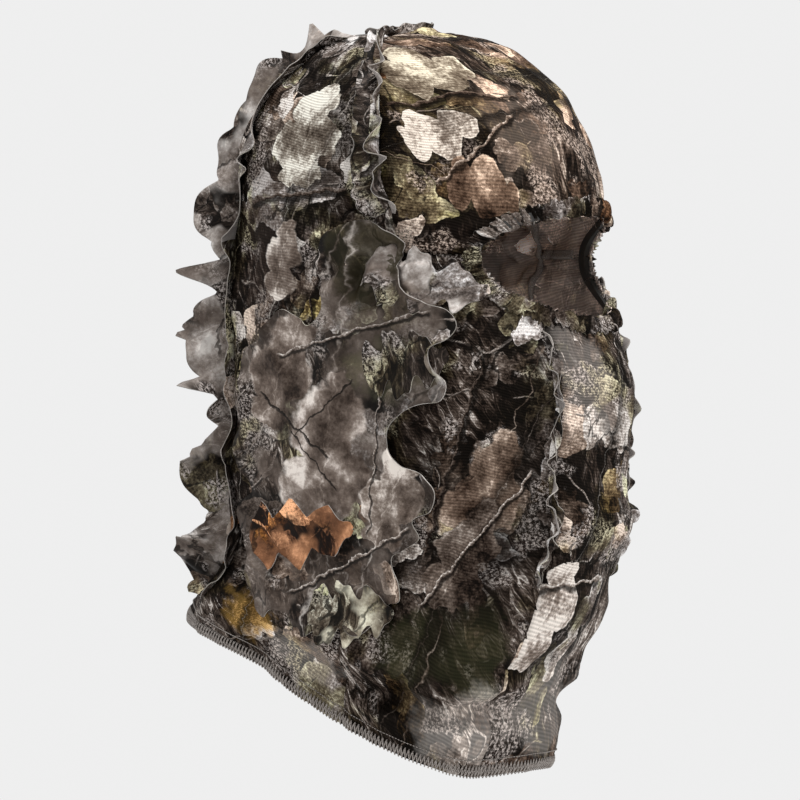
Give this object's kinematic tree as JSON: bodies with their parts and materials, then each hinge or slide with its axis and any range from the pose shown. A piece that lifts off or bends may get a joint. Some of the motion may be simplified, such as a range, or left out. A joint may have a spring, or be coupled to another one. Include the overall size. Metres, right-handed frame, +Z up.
{
  "type": "camo face mask",
  "caption": "Pull-over hood mask of printed knit with an elastic oval eye opening, a flared neck, standing leaf-cut ribbons and loose sewn leaves.",
  "frame": {"origin": "inside of the crown, where the top of the wearer's head seats", "axes": "+Z up, -Y the way the face looks, +X the wearer's left"},
  "size_m": [0.172, 0.2562, 0.3968],
  "materials": {
    "camo_knit": "fine rib knit printed with brown and grey woodland camouflage",
    "camo_knit_edge": "the same printed knit, folded and gathered",
    "elastic_band": "dark soft elastic",
    "overlock_thread": "matte grey-brown sewing thread",
    "leaf_cloth": "smooth printed leaf cloth with raw cut edges, paler on its reverse",
    "leaf_orange": "printed leaf cloth, dry orange brown",
    "leaf_green": "printed leaf cloth, pale grey green"
  },
  "bodies": {
    "hood": {"centre_back_seam": "overlock_thread", "cheek_overlay_left": "leaf_cloth", "cheek_overlay_right": "leaf_cloth", "cheek_panel_left": "camo_knit", "cheek_panel_right": "camo_knit", "coronal_seam": "overlock_thread", "crown_ribbon": "leaf_cloth", "eye_casing": "camo_knit_edge", "eye_elastic": "elastic_band", "face_panel": "camo_knit", "face_ribbon_left": "leaf_cloth", "face_ribbon_right": "leaf_cloth", "face_seam_left": "overlock_thread", "face_seam_right": "overlock_thread", "front_crown_panel": "camo_knit", "hem_fold": "camo_knit_edge", "hem_overlock_thread": "overlock_thread", "rear_panel_left": "camo_knit", "rear_panel_right": "camo_knit", "rear_ribbon_left": "leaf_cloth", "rear_ribbon_right": "leaf_cloth", "temple_seam_left": "overlock_thread", "temple_seam_right": "overlock_thread"},
    "cheek_leaf_left": {"cheek_leaf_left": "leaf_cloth"},
    "cheek_leaf_right": {"cheek_leaf_right": "leaf_cloth"},
    "green_jaw_leaf_left": {"green_jaw_leaf_left": "leaf_green"},
    "green_jaw_leaf_right": {"green_jaw_leaf_right": "leaf_green"},
    "orange_jaw_leaf_left": {"orange_jaw_leaf_left": "leaf_orange"},
    "orange_jaw_leaf_right": {"orange_jaw_leaf_right": "leaf_orange"},
    "temple_leaf_left": {"temple_leaf_left": "leaf_cloth"},
    "temple_leaf_right": {"temple_leaf_right": "leaf_cloth"}
  },
  "joints": [
    {"name": "temple_leaf_right_lift", "type": "hinge", "parent": "hood", "child": "temple_leaf_right", "pos_m": [-0.07908, -0.014, -0.126], "axis": [0, 0, -1], "range_deg": [0, 70]},
    {"name": "cheek_leaf_right_lift", "type": "hinge", "parent": "hood", "child": "cheek_leaf_right", "pos_m": [-0.07679, -0.012, -0.176], "axis": [0, 0, -1], "range_deg": [0, 70]},
    {"name": "orange_jaw_leaf_right_lift", "type": "hinge", "parent": "hood", "child": "orange_jaw_leaf_right", "pos_m": [-0.06277, 0.062, -0.266], "axis": [0, 0, -1], "range_deg": [0, 60]},
    {"name": "green_jaw_leaf_right_lift", "type": "hinge", "parent": "hood", "child": "green_jaw_leaf_right", "pos_m": [-0.06889, 0.024, -0.303], "axis": [0, 0, -1], "range_deg": [0, 60]},
    {"name": "temple_leaf_left_lift", "type": "hinge", "parent": "hood", "child": "temple_leaf_left", "pos_m": [0.07908, -0.014, -0.126], "axis": [0, 0, 1], "range_deg": [0, 70]},
    {"name": "cheek_leaf_left_lift", "type": "hinge", "parent": "hood", "child": "cheek_leaf_left", "pos_m": [0.07679, -0.012, -0.176], "axis": [0, 0, 1], "range_deg": [0, 70]},
    {"name": "orange_jaw_leaf_left_lift", "type": "hinge", "parent": "hood", "child": "orange_jaw_leaf_left", "pos_m": [0.06277, 0.062, -0.266], "axis": [0, 0, 1], "range_deg": [0, 60]},
    {"name": "green_jaw_leaf_left_lift", "type": "hinge", "parent": "hood", "child": "green_jaw_leaf_left", "pos_m": [0.06889, 0.024, -0.303], "axis": [0, 0, 1], "range_deg": [0, 60]}
  ]
}
